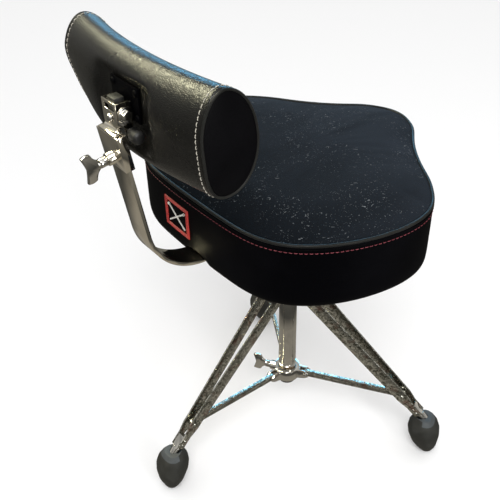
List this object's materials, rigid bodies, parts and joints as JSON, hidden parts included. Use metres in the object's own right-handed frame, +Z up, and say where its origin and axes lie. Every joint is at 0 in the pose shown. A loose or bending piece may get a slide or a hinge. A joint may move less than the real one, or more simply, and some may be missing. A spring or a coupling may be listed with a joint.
{
  "type": "drum throne",
  "caption": "Drum throne: saddle-shaped padded seat, padded backrest on a bent flat bar, and a folding double-braced tripod with rubber feet.",
  "frame": {"origin": "on the floor plane, under the middle of the whole object at rest", "axes": "+Z up, -Y the way the sitter faces, X across the seat"},
  "size_m": [0.477, 0.5344, 0.7389],
  "materials": {
    "chrome": "polished chrome plating",
    "rubber": "moulded matt rubber",
    "black_metal": "satin black powder coat",
    "black_plastic": "moulded black plastic",
    "plywood": "raw plywood",
    "velour": "black velour over foam",
    "vinyl": "grained black vinyl over foam"
  },
  "bodies": {
    "base": {"base_tube": "chrome", "tube_plug": "black_plastic", "upper_collar": "chrome", "height_clamp": "chrome"},
    "lock_handle": {"height_lock_handle": "black_plastic"},
    "rod": {"height_rod": "chrome", "memory_lock": "chrome", "memory_lock_bolt": "chrome"},
    "seat": {"seat_mount": "black_metal", "mount_screw_front_left": "black_metal", "mount_screw_front_right": "black_metal", "mount_screw_back_left": "black_metal", "mount_screw_back_right": "black_metal", "seat_board": "plywood", "seat_cushion": "velour", "bracket_bar": "chrome", "bracket_bolt_1": "chrome", "bracket_bolt_2": "chrome"},
    "seat_screw": {"seat_mount_wing_screw": "chrome"},
    "backrest_slider": {"backrest_sleeve": "chrome", "tilt_arm": "chrome", "arm_bolt": "chrome", "tilt_block": "black_plastic", "tilt_bolt": "chrome", "tilt_nut": "chrome"},
    "sleeve_screw": {"sleeve_wing_screw": "chrome"},
    "knob": {"tilt_knob": "black_plastic"},
    "backrest": {"pad_plate": "black_metal", "pad_screw_1": "black_metal", "pad_screw_2": "black_metal", "pad_screw_3": "black_metal", "pad_screw_4": "black_metal", "backrest_pad": "vinyl"},
    "collar": {"lower_collar": "chrome"},
    "collar_screw": {"lower_collar_wing_screw": "chrome"},
    "leg_rear": {"leg_rear_strap_a": "chrome", "leg_rear_strap_b": "chrome", "leg_rear_hinge_rivet": "chrome", "leg_rear_foot_peg": "chrome", "leg_rear_foot": "rubber"},
    "stay_rear": {"stay_rear": "chrome"},
    "leg_left": {"leg_left_strap_a": "chrome", "leg_left_strap_b": "chrome", "leg_left_hinge_rivet": "chrome", "leg_left_foot_peg": "chrome", "leg_left_foot": "rubber"},
    "stay_left": {"stay_left": "chrome"},
    "leg_right": {"leg_right_strap_a": "chrome", "leg_right_strap_b": "chrome", "leg_right_hinge_rivet": "chrome", "leg_right_foot_peg": "chrome", "leg_right_foot": "rubber"},
    "stay_right": {"stay_right": "chrome"}
  },
  "joints": [
    {"name": "fold_leg_rear", "type": "hinge", "parent": "base", "child": "leg_rear", "pos_m": [0, -0.00915, 0.284], "axis": [-1, 0, 0], "range_deg": [0, 36]},
    {"name": "fold_leg_left", "type": "hinge", "parent": "base", "child": "leg_left", "pos_m": [-0.03031, -0.06166, 0.284], "axis": [0.5, -0.866, 0], "range_deg": [0, 36]},
    {"name": "fold_leg_right", "type": "hinge", "parent": "base", "child": "leg_right", "pos_m": [0.03031, -0.06166, 0.284], "axis": [0.5, 0.866, 0], "range_deg": [0, 36]},
    {"name": "collar_slide", "type": "slide", "parent": "base", "child": "collar", "axis": [0, 0, 1], "range_m": [0, 0.1077]},
    {"name": "fold_stay_rear", "type": "hinge", "parent": "collar", "child": "stay_rear", "pos_m": [0, -0.01015, 0.103], "axis": [-1, 0, 0], "range_deg": [0, 81.5]},
    {"name": "fold_stay_left", "type": "hinge", "parent": "collar", "child": "stay_left", "pos_m": [-0.02944, -0.06116, 0.103], "axis": [0.5, -0.866, 0], "range_deg": [0, 81.5]},
    {"name": "fold_stay_right", "type": "hinge", "parent": "collar", "child": "stay_right", "pos_m": [0.02944, -0.06116, 0.103], "axis": [0.5, 0.866, 0], "range_deg": [0, 81.5]},
    {"name": "collar_screw_turn", "type": "hinge", "parent": "collar", "child": "collar_screw", "pos_m": [0.02511, -0.02966, 0.101], "axis": [0.866, 0.5, 0], "continuous": true},
    {"name": "lock_handle_turn", "type": "hinge", "parent": "base", "child": "lock_handle", "pos_m": [-0.01191, 0.00028, 0.318], "axis": [-0.2588, 0.9659, 0], "range_deg": [-180, 90]},
    {"name": "seat_height", "type": "slide", "parent": "base", "child": "rod", "axis": [0, 0, 1], "range_m": [0, 0.13]},
    {"name": "seat_swivel", "type": "hinge", "parent": "rod", "child": "seat", "pos_m": [0, -0.04415, 0.42], "axis": [0, 0, 1], "continuous": true},
    {"name": "seat_screw_turn", "type": "hinge", "parent": "seat", "child": "seat_screw", "pos_m": [0, -0.07845, 0.398], "axis": [0, -1, 0], "continuous": true},
    {"name": "backrest_height", "type": "slide", "parent": "seat", "child": "backrest_slider", "axis": [0, 0.1478, 0.989], "range_m": [0, 0.022]},
    {"name": "sleeve_screw_turn", "type": "hinge", "parent": "backrest_slider", "child": "sleeve_screw", "pos_m": [0, 0.23495, 0.62221], "axis": [0, 0.989, -0.1478], "continuous": true},
    {"name": "tilt_knob_turn", "type": "hinge", "parent": "backrest_slider", "child": "knob", "pos_m": [-0.025, 0.20885, 0.655], "axis": [-1, 0, 0], "continuous": true},
    {"name": "backrest_tilt", "type": "hinge", "parent": "backrest_slider", "child": "backrest", "pos_m": [0, 0.21185, 0.677], "axis": [1, 0, 0], "range_deg": [-15, 2]}
  ],
  "couplings": [
    {"joint": "fold_leg_left", "follows": "fold_leg_rear", "ratio": 1},
    {"joint": "fold_leg_right", "follows": "fold_leg_rear", "ratio": 1},
    {"joint": "collar_slide", "follows": "fold_leg_rear", "m_per_rad": 0.1713},
    {"joint": "fold_stay_rear", "follows": "fold_leg_rear", "ratio": 2.263},
    {"joint": "fold_stay_left", "follows": "fold_leg_rear", "ratio": 2.263},
    {"joint": "fold_stay_right", "follows": "fold_leg_rear", "ratio": 2.263}
  ]
}
